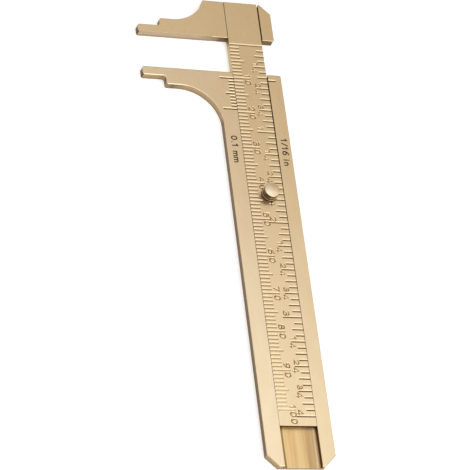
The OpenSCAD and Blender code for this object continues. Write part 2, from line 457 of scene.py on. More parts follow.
def nearness(nodes, links, coordinates, axis, middle, far, near):
    """A factor that runs from 0 to 1 as the distance to a middle along an axis falls from far to near."""
    split = nodes.new("ShaderNodeSeparateXYZ")
    links.new(coordinates, split.inputs[0])
    offset = nodes.new("ShaderNodeMath")
    offset.operation = "SUBTRACT"
    links.new(split.outputs[axis], offset.inputs[0])
    offset.inputs[1].default_value = middle
    distance = nodes.new("ShaderNodeMath")
    distance.operation = "ABSOLUTE"
    links.new(offset.outputs[0], distance.inputs[0])
    node = nodes.new("ShaderNodeMapRange")
    node.inputs["From Min"].default_value = far
    node.inputs["From Max"].default_value = near
    links.new(distance.outputs[0], node.inputs["Value"])
    return node.outputs["Result"]


def grained(name, scale, dark, light, rough, height=0.0, metallic=1.0):
    """Metal whose colour and gloss follow one grain."""
    material, nodes, links, shader = new_material(name, metallic)
    lines = grain(nodes, links, scale)
    tint(nodes, links, shader, lines, (0.3, dark), (0.7, light))
    gloss(nodes, links, shader, lines, *rough)
    if height:
        relief(nodes, links, shader, lines, height)
    return material


def brushed_brass(name, dark, light):
    """Satin brass with fine grinding lines along the slide and faint clouds of tarnish. It is paler towards
    the jaw's tip."""
    material, nodes, links, shader = new_material(name, 1.0)
    fine = grain(nodes, links, GRINDING)
    clouds = grain(nodes, links, CLOUDS, 5.0)
    across = object_axis(nodes, links, "X", FRAME_RIGHT, JAW_TIP)
    tint(nodes, links, shader, blend(nodes, links, across, 0.6, clouds, 0.4), (0.1, dark), (0.8, light))
    gloss(nodes, links, shader, fine, 0.27, 0.36)
    relief(nodes, links, shader, fine, 0.0006 * MM)
    return material


def groove_brass():
    """Milled groove: deeper gold with lengthwise streaks and brown in its left corner, with a painted
    highlight near its right and painted shade under the right rail."""
    material, nodes, links, shader = new_material("groove_brass", 1.0)
    streaks = grain(nodes, links, STREAKS, 7.0)
    fine = grain(nodes, links, MILLING)
    across = object_axis(nodes, links, "X", GROOVE_LEFT, GROOVE_RIGHT)
    place = nodes.new("ShaderNodeTexCoord").outputs["Object"]
    # Painted shade on the floor under the right rail's overhang
    corner = nearness(nodes, links, place, "X", GROOVE_RIGHT + UNDERCUT, 0.42 * MM, 0.32 * MM)
    floor = blend(nodes, links, across, 0.8, streaks, 0.4)
    # The stops towards the right end paint a highlight beside that shade
    tint(nodes, links, shader, blend(nodes, links, floor, 1.0, corner, -1.1),
         (0.0, (0.34, 0.19, 0.065)), (0.1, (0.38, 0.235, 0.09)), (0.22, (0.38, 0.235, 0.09)),
         (0.29, (0.90, 0.64, 0.30)), (0.46, (0.74, 0.50, 0.22)), (0.58, (0.86, 0.61, 0.30)),
         (0.7, (0.80, 0.55, 0.25)), (0.82, (0.56, 0.37, 0.17)), (0.91, (0.66, 0.45, 0.22)),
         (0.95, (0.92, 0.71, 0.42)))
    gloss(nodes, links, shader, fine, 0.34, 0.5)
    relief(nodes, links, shader, streaks, 0.004 * MM)
    return material


def edge_brass(name, front, *corner_shade):
    """Sawn and filed edges with lines along each edge, in a brass darker than the face's as painted shade.
    The sides are darker than the front, and the jaw's tip is the darkest, both painted shade. Each edge is
    darker towards the back and about a place along X, painted shade as well. The last arguments give that
    place along X and the distances at which its shade starts and is full."""
    material, nodes, links, shader = new_material(name, 1.0)
    file_marks = grain(nodes, links, FILE_MARKS)
    place = nodes.new("ShaderNodeTexCoord").outputs
    # Painted shade: faces turned along X are darker
    shadow = nearness(nodes, links, place["Normal"], "X", 0.0, 0.975, 1.0)
    # Painted shade about the given place along X and towards the back
    for dark in (nearness(nodes, links, place["Object"], "X", *corner_shade),
                 nearness(nodes, links, place["Object"], "Z", 0.0, 1.6 * MM, -0.5 * MM)):
        node = nodes.new("ShaderNodeMath")
        node.operation = "MAXIMUM"
        links.new(shadow, node.inputs[0])
        links.new(dark, node.inputs[1])
        shadow = node.outputs[0]
    # Painted shade: darkest at the jaw's tip
    tip = nearness(nodes, links, place["Object"], "X", JAW_TIP, 0.3 * MM, 0.1 * MM)
    filed = blend(nodes, links, shadow, 0.8, file_marks, 0.2)
    tint(nodes, links, shader, blend(nodes, links, filed, 1.0, tip, -1.1),
         (0.0, (0.095, 0.06, 0.035)), (0.05, [part * 0.85 for part in front]), (0.16, front),
         (0.72, [part * 0.6 for part in front]), (0.86, (0.155, 0.098, 0.046)), (0.96, (0.22, 0.142, 0.069)))
    gloss(nodes, links, shader, file_marks, 0.36, 0.5)
    relief(nodes, links, shader, file_marks, 0.003 * MM)
    return material


def faded_tarnish():
    """Brown tarnish with painted light: it turns paler towards the bar's tail."""
    material, nodes, links, shader = new_material("faded_tarnish", 1.0)
    spots = grain(nodes, links, EVEN)
    # Painted light: paler towards the bar's tail
    along = object_axis(nodes, links, "Y", BAR_TAIL, BAR_TAIL + 45.0 * MM)
    tint(nodes, links, shader, blend(nodes, links, along, 0.8, spots, 0.2),
         (0.1, (0.80, 0.62, 0.38)), (0.4, (0.52, 0.365, 0.19)), (0.9, (0.31, 0.20, 0.095)))
    gloss(nodes, links, shader, spots, 0.45, 0.6)
    return material


def polished_brass(axis):
    """Turned and polished stud with faint rings about its axis and painted shade in dark brown below its
    head, broken by a painted highlight on the flange's top rim. Its crown has a painted highlight on the side
    towards the left and the tail."""
    material, nodes, links, shader = new_material("polished_brass", 1.0)
    place = nodes.new("ShaderNodeTexCoord")
    mapping = nodes.new("ShaderNodeMapping")
    mapping.inputs["Location"].default_value = (-axis[0], -axis[1], 0.0)
    links.new(place.outputs["Object"], mapping.inputs["Vector"])
    rings = nodes.new("ShaderNodeTexWave")
    rings.wave_type = "RINGS"
    rings.rings_direction = "Z"
    rings.inputs["Scale"].default_value = RINGS
    rings.inputs["Distortion"].default_value = 0.6
    links.new(mapping.outputs["Vector"], rings.inputs["Vector"])
    clouds = grain(nodes, links, SMUDGES)
    height = object_axis(nodes, links, "Z", FACE, HEAD_TOP)
    to_the_left = object_axis(nodes, links, "X", axis[0] + 0.3 * MM, axis[0] - 0.9 * MM)
    to_the_tail = object_axis(nodes, links, "Y", axis[1] + 1.4 * MM, axis[1] - 0.6 * MM)
    # Painted highlight on the crown, towards the left and the tail
    crown = nodes.new("ShaderNodeMath")
    crown.operation = "MULTIPLY"
    links.new(blend(nodes, links, to_the_left, 0.7, to_the_tail, 0.3), crown.inputs[0])
    links.new(object_axis(nodes, links, "Z", HEAD_TOP - 0.3 * MM, HEAD_TOP - 0.2 * MM), crown.inputs[1])
    # Painted shade in dark brown below the head, with a painted highlight on the flange's top rim
    shade_below_head = (0.10, 0.052, 0.022)
    rim_highlight = (0.62, 0.45, 0.25)
    up_the_stud = blend(nodes, links, height, 0.85, clouds, 0.06)
    tint(nodes, links, shader, blend(nodes, links, up_the_stud, 1.0, crown.outputs[0], 0.1),
         (0.223, shade_below_head), (0.258, rim_highlight), (0.271, rim_highlight), (0.302, shade_below_head), (0.722, shade_below_head),
         (0.792, (0.84, 0.67, 0.42)), (0.88, (0.86, 0.69, 0.455)), (0.98, (1.0, 0.88, 0.68)))
    gloss(nodes, links, shader, rings.outputs["Fac"], 0.28, 0.38)
    relief(nodes, links, shader, rings.outputs["Fac"], 0.0004 * MM)
    return material


# Plates: the frame and the sliding jaw share one channel section


def channel_plate(name, left, right, floor, seam, *metals):
    """A plate with the dovetail groove. left runs from the groove's upper end round to its lower end on the
    left side, right from the lower end back to the upper end on the right side. seam is the groove edges'
    share of the largest round. metals are those of the face, the groove, the edges and the rounds that face
    away. The steepest front rounds, and more of the sliding jaw's front round away from its block, take the
    edge metal as painted shade that dims their highlight; the metal of the rounds that face away is a painted
    grey reflection."""
    shape = bmesh.new()
    high_y = left[0][1]
    low_y = left[-1][1]
    left_top = [shape.verts.new((x, y, FACE)) for x, y in left]
    right_top = [shape.verts.new((x, y, FACE)) for x, y in right]
    left_back = [shape.verts.new((x, y, 0)) for x, y in left[1:-1]]
    right_back = [shape.verts.new((x, y, 0)) for x, y in right[1:-1]]
    floor_left = flank(GROOVE_LEFT, -1, floor)
    floor_right = flank(GROOVE_RIGHT, 1, floor)
    upper_left = shape.verts.new((floor_left, high_y, floor))
    lower_left = shape.verts.new((floor_left, low_y, floor))
    lower_right = shape.verts.new((floor_right, low_y, floor))
    upper_right = shape.verts.new((floor_right, high_y, floor))
    shape.faces.new(left_top)
    shape.faces.new(right_top)
    shape.faces.new(left_back + right_back)
    groove_faces = [
        shape.faces.new((upper_left, lower_left, lower_right, upper_right)),
        shape.faces.new((left_top[0], upper_left, lower_left, left_top[-1])),
        shape.faces.new((right_top[-1], upper_right, lower_right, right_top[0])),
    ]
    edge_faces = [
        shape.faces.new((left_back[0], left_top[1], left_top[0], upper_left, upper_right,
                         right_top[-1], right_top[-2], right_back[-1])),
        shape.faces.new((left_back[-1], left_top[-2], left_top[-1], lower_left, lower_right,
                         right_top[0], right_top[1], right_back[0])),
    ]
    for top, back in ((left_top[1:-1], left_back), (right_top[1:-1], right_back)):
        for a, b, c, d in zip(top, top[1:], back[1:], back):
            edge_faces.append(shape.faces.new((a, b, c, d)))
    for face in groove_faces:
        face.material_index = GROOVE_METAL
    for face in edge_faces:
        face.material_index = EDGE_METAL
    plate = add_object(name, shape, *metals)
    round_edges(plate, lambda edge: plate_edge(edge, seam))
    for face in plate.data.polygons:
        if face.material_index != FACE_METAL:
            continue
        # Painted shade: steep front rounds, and more of the sliding jaw's front round left of its shaded end,
        # take the edge metal
        on_shaded_front = face.center.y > 0.0 and face.center.x < SHADED_FRONT_END
        front_tilt = SHADED_FRONT_TILT if on_shaded_front else FRONT_TILT
        if abs(face.normal.z) < SIDE_TILT or face.normal.y < front_tilt:
            face.material_index = EDGE_METAL
        # Painted grey reflection on rounds that face back or right
        elif max(face.normal.x, face.normal.y) > RIM_TILT:
            face.material_index = RIM_METAL
    return plate


def plate_edge(edge, seam):
    """An edge's share of the largest round. Square corners get as much as has room, outer edges a share that
    shrinks towards the sides. The back, the sliding jaw's front and the groove get small ones, and the steps
    of a sweep none."""
    if edge.calc_face_angle(0.0) < SHARP_ANGLE or not edge.is_convex:
        return 0.0
    if any(face.material_index == GROOVE_METAL for face in edge.link_faces):
        return seam if min(vertex.co.z for vertex in edge.verts) > FACE - CLOSE else 0.0
    along = (edge.verts[1].co - edge.verts[0].co).normalized()
    if abs(along.z) > UPRIGHT:
        if edge.calc_face_angle() <= SQUARE_CORNER:
            return 0.0
        room = min(face.calc_area() for face in edge.link_faces) / edge.calc_length()
        return min(1.0, room / LARGEST_ROUND / CORNER_ROOM)
    if max(vertex.co.z for vertex in edge.verts) < CLOSE:
        return BACK_SHARE
    if all(abs(vertex.co.y - JAW_OPEN) < CLOSE for vertex in edge.verts):
        return JAW_FRONT_SHARE
    outwards = min((face.normal for face in edge.link_faces), key=lambda normal: abs(normal.z))
    return SIDE_SHARE + (OUTER_SHARE - SIDE_SHARE) * abs(outwards.y)


def frame_outlines():
    """Left and right outline of the frame with its fixed jaw."""
    left = [(GROOVE_LEFT, 0.0), (JAW_TIP, 0.0), (JAW_TIP, -FIXED_NIB_DEPTH)]
    left += arc(NIB_STEP - NIB_FILLET, -FIXED_NIB_DEPTH - NIB_FILLET,
                NIB_FILLET, NIB_FILLET, 90, 0, FILLET_STEPS)
    left.append((NIB_STEP, -FIXED_JAW_DEPTH))
    left += arc(FRAME_LEFT - FIXED_SWEEP, -FIXED_JAW_DEPTH - FIXED_SWEEP,
                FIXED_SWEEP, FIXED_SWEEP, 90, 0, SWEEP_STEPS)
    left += [(FRAME_LEFT, FRAME_TAIL + TAIL_CHAMFER), (FRAME_LEFT + TAIL_CHAMFER, FRAME_TAIL),
             (GROOVE_LEFT, FRAME_TAIL)]
    right = [(GROOVE_RIGHT, FRAME_TAIL), (FRAME_RIGHT - TAIL_CHAMFER, FRAME_TAIL),
             (FRAME_RIGHT, FRAME_TAIL + TAIL_CHAMFER), (FRAME_RIGHT, 0.0), (GROOVE_RIGHT, 0.0)]
    return left, right


def sliding_jaw_outlines():
    """Left and right outline of the sliding jaw with its block."""
    jaw_back = JAW_OPEN + SLIDING_JAW_DEPTH
    nib_back = JAW_OPEN + SLIDING_NIB_DEPTH
    rise = BLOCK_TOP - jaw_back
    sweep_end = math.degrees(math.asin((rise - SLIDING_SWEEP) / SLIDING_SWEEP))
    sweep_x = -BLOCK_LEFT - SLIDING_SWEEP * math.cos(math.radians(sweep_end))
    left = [(GROOVE_LEFT, BLOCK_TOP)]
    left += arc(sweep_x, jaw_back + SLIDING_SWEEP, SLIDING_SWEEP, SLIDING_SWEEP, sweep_end, -90, SWEEP_STEPS)
    left.append((NIB_STEP, jaw_back))
    left += arc(NIB_STEP - NIB_FILLET, nib_back + NIB_FILLET, NIB_FILLET, NIB_FILLET, 0, -90, FILLET_STEPS)
    left += [(JAW_TIP, nib_back), (JAW_TIP, JAW_OPEN), (SHADED_FRONT_END, JAW_OPEN), (GROOVE_LEFT, JAW_OPEN)]
    right = [(GROOVE_RIGHT, JAW_OPEN), (BLOCK_RIGHT, JAW_OPEN), (BLOCK_RIGHT, BLOCK_TOP - BLOCK_CHAMFER),
             (BLOCK_RIGHT - BLOCK_CHAMFER, BLOCK_TOP), (GROOVE_RIGHT, BLOCK_TOP)]
    return left, right


def bar_prism(name, *metals):
    """The slide bar before engraving. Its flanks come closer to the rails towards the tail. metals are those
    of the face, the flanks, the upper end and the tail end."""
    shape = bmesh.new()
    rings = []
    stations = []
    for here, after in zip(BAR_GAPS, BAR_GAPS[1:]):
        steps = round((after[0] - here[0]) / BAR_STEP)
        for step in range(steps):
            stations.append([a + (b - a) * step / steps for a, b in zip(here, after)])
    for y, left_gap, right_gap in stations + [BAR_GAPS[-1]]:
        left = GROOVE_LEFT + left_gap
        right = GROOVE_RIGHT - right_gap
        section = [(flank(left, -1, BAR_BOTTOM), BAR_BOTTOM), (flank(right, 1, BAR_BOTTOM), BAR_BOTTOM),
                   (right, FACE), *((x, FACE) for x in reversed(BAR_COLUMNS)), (left, FACE)]
        rings.append([shape.verts.new((x, y, z)) for x, z in section])
    shape.faces.new(rings[0]).material_index = TAIL_END_METAL
    shape.faces.new(rings[-1]).material_index = UPPER_END_METAL
    for ring, next_ring in zip(rings, rings[1:]):
        for corner in range(len(ring)):
            after = (corner + 1) % len(ring)
            face = shape.faces.new((ring[corner], ring[after], next_ring[after], next_ring[corner]))
            face.material_index = BAR_FACE_METAL if 2 <= corner < len(ring) - 1 else FLANK_METAL
    bar = add_object(name, shape, *metals)
    round_edges(bar, lambda edge: BAR_SHARE if edge.calc_face_angle(0.0) > SHARP_ANGLE else 0.0)
    return bar


# Engraved lines: one node tree rules every scale


def graduation_tree():
    """Node tree that lays trench shaped cutters along a scale. Every minor, middle and major line has its own
    length."""
    tree = bpy.data.node_groups.new("ruled_scale", "GeometryNodeTree")
    inputs = {
        "Lines": "Int",
        "First Number": "Int",
        "Pitch": "Float",
        "Start X": "Float",
        "Start Y": "Float",
        "Face Z": "Float",
        "From Right": "Bool",
        "Major Every": "Int",
        "Middle Every": "Int",
        "Minor Every": "Int",
        "Major Length": "Float",
        "Middle Length": "Float",
        "Minor Length": "Float",
        "Line Length": "Float",
        "Far Reach": "Float",
        "Near Reach": "Float",
        "Floor Width": "Float",
        "Line Depth": "Float",
        "Overrun": "Float",
        "Wall Metal": "Material",
        "Floor Metal": "Material",
    }
    for label, kind in inputs.items():
        tree.interface.new_socket(label, in_out="INPUT", socket_type="NodeSocket" + kind)
    tree.interface.new_socket("Geometry", in_out="OUTPUT", socket_type="NodeSocketGeometry")
    nodes, links = tree.nodes, tree.links
    given = nodes.new("NodeGroupInput").outputs

    def feed(node, *values):
        for socket, value in zip(node.inputs, values):
            if isinstance(value, (int, float)):
                socket.default_value = value
            else:
                links.new(value, socket)
        return node.outputs[0]

    def maths(operation, a, b):
        node = nodes.new("ShaderNodeMath")
        node.operation = operation
        return feed(node, a, b)

    def switch(condition, if_false, if_true):
        node = nodes.new("GeometryNodeSwitch")
        node.input_type = "FLOAT"
        return feed(node, condition, if_false, if_true)

    def vector(x, y, z):
        return feed(nodes.new("ShaderNodeCombineXYZ"), x, y, z)

    def every(step):
        return maths("LESS_THAN", maths("MODULO", number, step), 0.5)

    index = nodes.new("GeometryNodeInputIndex").outputs[0]
    number = maths("ADD", index, given["First Number"])
    length = switch(every(given["Minor Every"]), given["Line Length"], given["Minor Length"])
    length = switch(every(given["Middle Every"]), length, given["Middle Length"])
    length = switch(every(given["Major Every"]), length, given["Major Length"])
    shift = switch(given["From Right"], given["Overrun"], length)

    row = nodes.new("GeometryNodeMeshLine")
    links.new(given["Lines"], row.inputs["Count"])
    links.new(vector(given["Start X"], given["Start Y"], given["Face Z"]), row.inputs["Start Location"])
    links.new(vector(0.0, maths("MULTIPLY", given["Pitch"], -1.0), 0.0), row.inputs["Offset"])
    place = nodes.new("GeometryNodeSetPosition")
    links.new(row.outputs["Mesh"], place.inputs["Geometry"])
    links.new(vector(maths("MULTIPLY", shift, -1.0), 0.0, 0.0), place.inputs["Offset"])

    # A bar of unit length and depth that narrows downwards and stands half its depth above the face
    trench = nodes.new("GeometryNodeMeshCube")
    trench.inputs["Size"].default_value = (1.0, 1.0, 1.5)
    sink = nodes.new("GeometryNodeTransform")
    sink.inputs["Translation"].default_value = (0.5, 0.0, -0.25)
    links.new(trench.outputs["Mesh"], sink.inputs["Geometry"])
    spot = nodes.new("ShaderNodeSeparateXYZ")
    links.new(nodes.new("GeometryNodeInputPosition").outputs[0], spot.inputs[0])
    half_floor = maths("MULTIPLY", given["Floor Width"], 0.5)
    rise = maths("ADD", spot.outputs["Z"], 1.0)

    def wall_at(reach):
        slope = maths("SUBTRACT", reach, half_floor)
        return maths("ADD", half_floor, maths("MULTIPLY", slope, rise))

    near = maths("MULTIPLY", wall_at(given["Near Reach"]), -1.0)
    breadth = switch(maths("GREATER_THAN", spot.outputs["Y"], 0.0), near, wall_at(given["Far Reach"]))
    narrow = nodes.new("GeometryNodeSetPosition")
    links.new(sink.outputs["Geometry"], narrow.inputs["Geometry"])
    links.new(vector(spot.outputs["X"], breadth, spot.outputs["Z"]), narrow.inputs["Position"])

    lay = nodes.new("GeometryNodeInstanceOnPoints")
    links.new(place.outputs["Geometry"], lay.inputs["Points"])
    links.new(narrow.outputs["Geometry"], lay.inputs["Instance"])
    whole = maths("ADD", length, given["Overrun"])
    links.new(vector(whole, 1.0, given["Line Depth"]), lay.inputs["Scale"])

    realize = nodes.new("GeometryNodeRealizeInstances")
    links.new(lay.outputs["Instances"], realize.inputs["Geometry"])
    walls = nodes.new("GeometryNodeSetMaterial")
    links.new(realize.outputs["Geometry"], walls.inputs["Geometry"])
    links.new(given["Wall Metal"], walls.inputs["Material"])
    facing = nodes.new("ShaderNodeSeparateXYZ")
    links.new(nodes.new("GeometryNodeInputNormal").outputs[0], facing.inputs[0])
    floors = nodes.new("GeometryNodeSetMaterial")
    links.new(walls.outputs["Geometry"], floors.inputs["Geometry"])
    links.new(maths("LESS_THAN", facing.outputs["Z"], -0.99), floors.inputs["Selection"])
    links.new(given["Floor Metal"], floors.inputs["Material"])
    links.new(floors.outputs["Geometry"], nodes.new("NodeGroupOutput").inputs["Geometry"])
    return tree


def ruled_lines(name, tree, **sizes):
    """Cutters for one scale, as a plain mesh."""
    lines = add_object(name, bmesh.new())
    modifier = lines.modifiers.new("scale", "NODES")
    modifier.node_group = tree
    for socket in tree.interface.items_tree:
        key = socket.name.lower().replace(" ", "_")
        if key in sizes:
            modifier[socket.identifier] = sizes[key]
    settle(lines)
    return lines


# Engraved numbers: strokes with the same trench section

DIGIT_WIDTH = 0.7
BOWL_STEPS = 20
CAP_STEPS = 6
SHARPEST_CORNER = 0.45


def line(*points):
    """An open stroke."""
    return list(points), False


def curve(*ellipse):
    """Points of a round stroke."""
    return arc(*ellipse, BOWL_STEPS)


def loop(centre_x, centre_y, radius_x, radius_y):
    """A closed round stroke."""
    return curve(centre_x, centre_y, radius_x, radius_y, 0, 360)[:-1], True


def turned_about(strokes):
    """Strokes of a glyph turned half round."""
    return [([(DIGIT_WIDTH - x, 1.0 - y) for x, y in points], closed) for points, closed in strokes]


SIX = [loop(0.35, 0.3, 0.34, 0.3), line(*curve(0.665, 0.3, 0.64, 0.7, 92, 174))]
GLYPHS = {
    "0": [loop(0.35, 0.5, 0.34, 0.5)],
    "1": [line((0.1, 0.76), (0.36, 1.0), (0.36, 0.0))],
    "2": [line(*curve(0.35, 0.69, 0.33, 0.31, 165, -40), (0.02, 0.0), (0.7, 0.0))],
    "3": [line(*curve(0.33, 0.75, 0.29, 0.25, 150, -90)),
          line((0.2, 0.5), *curve(0.33, 0.25, 0.35, 0.25, 80, -150))],
    "4": [line((0.0, 0.3), (0.52, 1.0), (0.52, 0.0)), line((0.03, 0.3), (0.72, 0.3))],
    "5": [line((0.62, 1.0), (0.12, 1.0), (0.08, 0.5)), line(*curve(0.33, 0.33, 0.35, 0.33, 125, -145))],
    "6": SIX,
    "7": [line((0.0, 1.0), (0.7, 1.0), (0.24, 0.0))],
    "8": [loop(0.35, 0.76, 0.28, 0.23), loop(0.35, 0.26, 0.34, 0.27)],
    "9": turned_about(SIX),
    ".": [line((0.34, 0.0), (0.36, 0.0))],
    "/": [line((0.1, 0.0), (0.6, 1.0))],
    "m": [line((-0.1, 0.0), (-0.1, 0.66)), line(*curve(0.125, 0.43, 0.225, 0.22, 172, 0), (0.35, 0.0)),
          line(*curve(0.575, 0.43, 0.225, 0.22, 172, 0), (0.8, 0.0))],
    "i": [line((0.35, 0.0), (0.35, 0.62)), line((0.35, 0.88), (0.35, 0.9))],
    "n": [line((0.1, 0.0), (0.1, 0.66)), line(*curve(0.35, 0.43, 0.25, 0.22, 172, 0), (0.6, 0.0))],
}
ADVANCE = {" ": 0.6, ".": 0.6, "/": 0.8, "1": 0.85, "i": 0.6, "m": 1.22}
PLAIN_ADVANCE = 0.98


def stroke_cutter(points, closed, pen, *metals):
    """A trench along a stroke, with round ends where it is open. pen is its width and depth, and metals are
    those of its walls and its floor."""
    width, depth = pen
    half_floor = width / 2 * STROKE_FLOOR
    half_top = width / 2 + (width / 2 - half_floor) * STROKE_RISE / depth
    shape = bmesh.new()
    count = len(points)
    rings = []
    for i, point in enumerate(points):
        coming = point - points[i - 1] if closed or i > 0 else points[1] - point
        going = points[(i + 1) % count] - point if closed or i < count - 1 else coming
        along = (coming.normalized() + going.normalized()).normalized()
        across = Vector((-along.y, along.x)) / max(along.dot(going.normalized()), SHARPEST_CORNER)
        corners = []
        for half, z in ((half_top, FACE + STROKE_RISE), (half_floor, FACE - depth),
                        (-half_floor, FACE - depth), (-half_top, FACE + STROKE_RISE)):
            corners.append(shape.verts.new((*(point + across * half), z)))
        rings.append((corners, point, along))
    pairs = list(zip(rings, rings[1:]))
    if closed:
        pairs.append((rings[-1], rings[0]))
    for (corners, _, _), (next_corners, _, _) in pairs:
        for k in range(4):
            face = shape.faces.new((corners[k], corners[k - 1], next_corners[k - 1], next_corners[k]))
            face.material_index = STROKE_FLOOR_METAL if k == 2 else WALL_METAL
    if not closed:
        for (corners, point, along), outwards in ((rings[0], -1), (rings[-1], 1)):
            round_off(shape, corners, point, along * outwards)
    bmesh.ops.triangulate(shape, faces=shape.faces)
    return add_object("stroke", shape, *metals)


def round_off(shape, corners, point, outwards):
    """A round end for a trench."""
    across = (corners[0].co.xy - point).normalized()
    rim_painted_reflection = []
    for first, last in ((corners[0], corners[3]), (corners[1], corners[2])):
        radius = (first.co.xy - point).length
        rim = [first]
        for step in range(1, CAP_STEPS):
            angle = math.pi * step / CAP_STEPS
            spot = point + (across * math.cos(angle) + outwards * math.sin(angle)) * radius
            rim.append(shape.verts.new((*spot, first.co.z)))
        rim_painted_reflection.append(rim + [last])
    top, floor = rim_painted_reflection
    shape.faces.new(top)
    shape.faces.new(floor).material_index = STROKE_FLOOR_METAL
    for a, b, c, d in zip(top, top[1:], floor[1:], floor):
        shape.faces.new((a, b, c, d))


def engraved(character, base_x, middle_y, size, pen, *metals):
    """Cutters of one character that reads down the bar, with its top to the right. size is its height and the
    unit of its breadth."""
    height, breadth = size
    cutters = []
    for points, closed in GLYPHS[character]:
        placed = []
        for u, v in points:
            placed.append(Vector((base_x + v * height, middle_y - (u - DIGIT_WIDTH / 2) * breadth)))
        cutters.append(stroke_cutter(placed, closed, pen, *metals))
    return cutters


def bar_numbers(*metals):
    """Numbers of both scales."""
    cutters = []
    for tens in range(1, 11):
        y = ZERO_Y - tens * 10 * MM
        for place, digit in enumerate(str(tens * 10)):
            middle = y - BELOW_LINE - (place - 1) * NEXT_DIGIT
            if place == 0:
                middle = y + (ONE_ABOVE_LINE if digit == "1" else ABOVE_LINE)
            cutters += engraved(digit, MM_BASE, middle, MM_SIZE, NUMBER_PEN, *metals)
    for quarters in range(1, 17):
        y = ZERO_Y - quarters * INCH / 4
        if quarters % 4 == 0:
            cutters += engraved(str(quarters // 4), INCH_BASE, y + BELOW_LINE, INCH_SIZE, NUMBER_PEN, *metals)
            continue
        upper = str(quarters % 4)
        above = y + (ONE_ABOVE_LINE if upper == "1" else NUMERATOR_ABOVE_LINE)
        below = y - DENOMINATOR_BELOW_LINE
        pen = QUARTER_PEN if upper == "1" else FRACTION_PEN
        cutters += engraved(upper, NUMERATOR_BASE, above, NUMERATOR_SIZE, pen, *metals)
        cutters += engraved("4", DENOMINATOR_BASE, below, DENOMINATOR_SIZE, FRACTION_PEN, *metals)
    return cutters


def unit_sign(text, base_x, *metals):
    """A unit sign on a rail, read downwards."""
    cutters = []
    y = SIGN_TOP
    for character in text:
        room = ADVANCE.get(character, PLAIN_ADVANCE) * SIGN_SIZE[1]
        if character != " ":
            cutters += engraved(character, base_x, y - room / 2, SIGN_SIZE, SIGN_PEN, *metals)
        y -= room
    return cutters


# Build the pieces

brass = brushed_brass("brushed_brass", (0.82, 0.635, 0.375), (0.91, 0.735, 0.48))
pale_brass = brushed_brass("pale_brass", (0.82, 0.632, 0.37), (0.96, 0.805, 0.575))
groove = groove_brass()
# Edge brass darker than the face brass is painted shade, with more of it about the fixed jaw's step and
# towards the sliding jaw's block
edges = edge_brass("edge_brass", (0.45, 0.32, 0.18), -20.6 * MM, 4.5 * MM, -0.5 * MM)
jaw_edges = edge_brass("jaw_edge_brass", (0.53, 0.40, 0.26), 3.0 * MM, 17.0 * MM, 9.0 * MM)
# Grey brass for the rounds that face back or right: a painted reflection
rim_painted_reflection = grained("rim_brass", EVEN, (0.66, 0.59, 0.50), (0.76, 0.69, 0.59), (0.4, 0.5))
flanks = grained("flank_brass", LENGTHWISE, (0.50, 0.395, 0.225), (0.60, 0.475, 0.28), (0.34, 0.44))
# Near black tail end of the bar: painted shadow
bar_end_shadow = grained("bar_end_brass", CROSSWISE, (0.05, 0.03, 0.013), (0.11, 0.065, 0.03), (0.4, 0.5))
wall = grained("cut_brass", EVEN, (0.76, 0.58, 0.34), (0.88, 0.70, 0.44), (0.26, 0.38))
tarnish = grained("tarnished_brass", EVEN, (0.12, 0.07, 0.028), (0.26, 0.16, 0.07), (0.45, 0.65))
dark = grained("dark_tarnish", EVEN, (0.075, 0.042, 0.017), (0.17, 0.10, 0.045), (0.45, 0.65))
# Line floors painted paler towards the bar's tail: painted light
tarnish_with_painted_light = faded_tarnish()
dull = grained("dull_brass", EVEN, (0.20, 0.125, 0.055), (0.33, 0.22, 0.105), (0.4, 0.55))
black = grained("blackened_brass", EVEN, (0.035, 0.022, 0.012), (0.12, 0.08, 0.04), (0.5, 0.7), 0.0, 0.7)
bronze = grained("rolled_bronze", LENGTHWISE, (0.50, 0.30, 0.15), (0.70, 0.46, 0.26), (0.25, 0.4))
stud_axis = ((stud_low.x + stud_high.x) / 2, (stud_low.y + stud_high.y) / 2)
polish = polished_brass(stud_axis)
ruler = graduation_tree()
shared = {"face_z": FACE, "far_reach": LINE_FAR, "near_reach": LINE_NEAR, "overrun": OVERRUN,
          "wall_metal": wall}
dark_lines = {**shared, "floor_width": DARK_LINE_FLOOR, "line_depth": DEEP_LINE, "floor_metal": dark}
inch_lines = {**shared, "floor_width": INCH_LINE_FLOOR, "line_depth": LINE_DEPTH, "floor_metal": tarnish}
soft_lines = {**shared, "floor_width": LINE_FLOOR, "line_depth": LINE_DEPTH, "floor_metal": tarnish_with_painted_light}

plate = channel_plate("frame_plate", *frame_outlines(), GROOVE_FLOOR, SEAM_SHARE,
                      pale_brass, groove, edges, rim_painted_reflection)
vernier = ruled_lines(
    "vernier_lines", ruler, lines=11, first_number=0, pitch=VERNIER_PITCH,
    start_x=GROOVE_LEFT, start_y=-ZERO_DROP, from_right=True,
    major_every=10, middle_every=5, minor_every=5,
    major_length=VERNIER_END_LINE, middle_length=VERNIER_HALF_LINE, minor_length=VERNIER_LINE,
    line_length=VERNIER_LINE, **dark_lines)
inch_index = ruled_lines(
    "inch_index", ruler, lines=1, first_number=0, pitch=VERNIER_PITCH,
    start_x=GROOVE_RIGHT, start_y=-ZERO_DROP, from_right=False,
    major_every=1, middle_every=1, minor_every=1,
    major_length=INDEX_LINE, middle_length=0.0, minor_length=0.0, line_length=0.0, **dark_lines)
pocket_room = Vector((POCKET_ROOM, POCKET_ROOM, 0.0))
pocket_high = spring_high + pocket_room + Vector((0, 0, FACE))
pocket = block_cutter("pocket", spring_low - pocket_room, pocket_high, groove)
pin_radius = (pin_high.x - pin_low.x) / 2
pin_axis = ((pin_low.x + pin_high.x) / 2, (pin_low.y + pin_high.y) / 2)
pin_hole = hole_cutter("pin_hole", pin_axis, pin_radius * PIN_HOLE_ROOM, brass)
signs = unit_sign("0.1 mm", VERNIER_SIGN_BASE, black, black)
signs += unit_sign("1/16 in", INCH_SIGN_BASE, black, black)
cut(plate, [vernier, inch_index, pocket, pin_hole] + signs)
shade(plate)

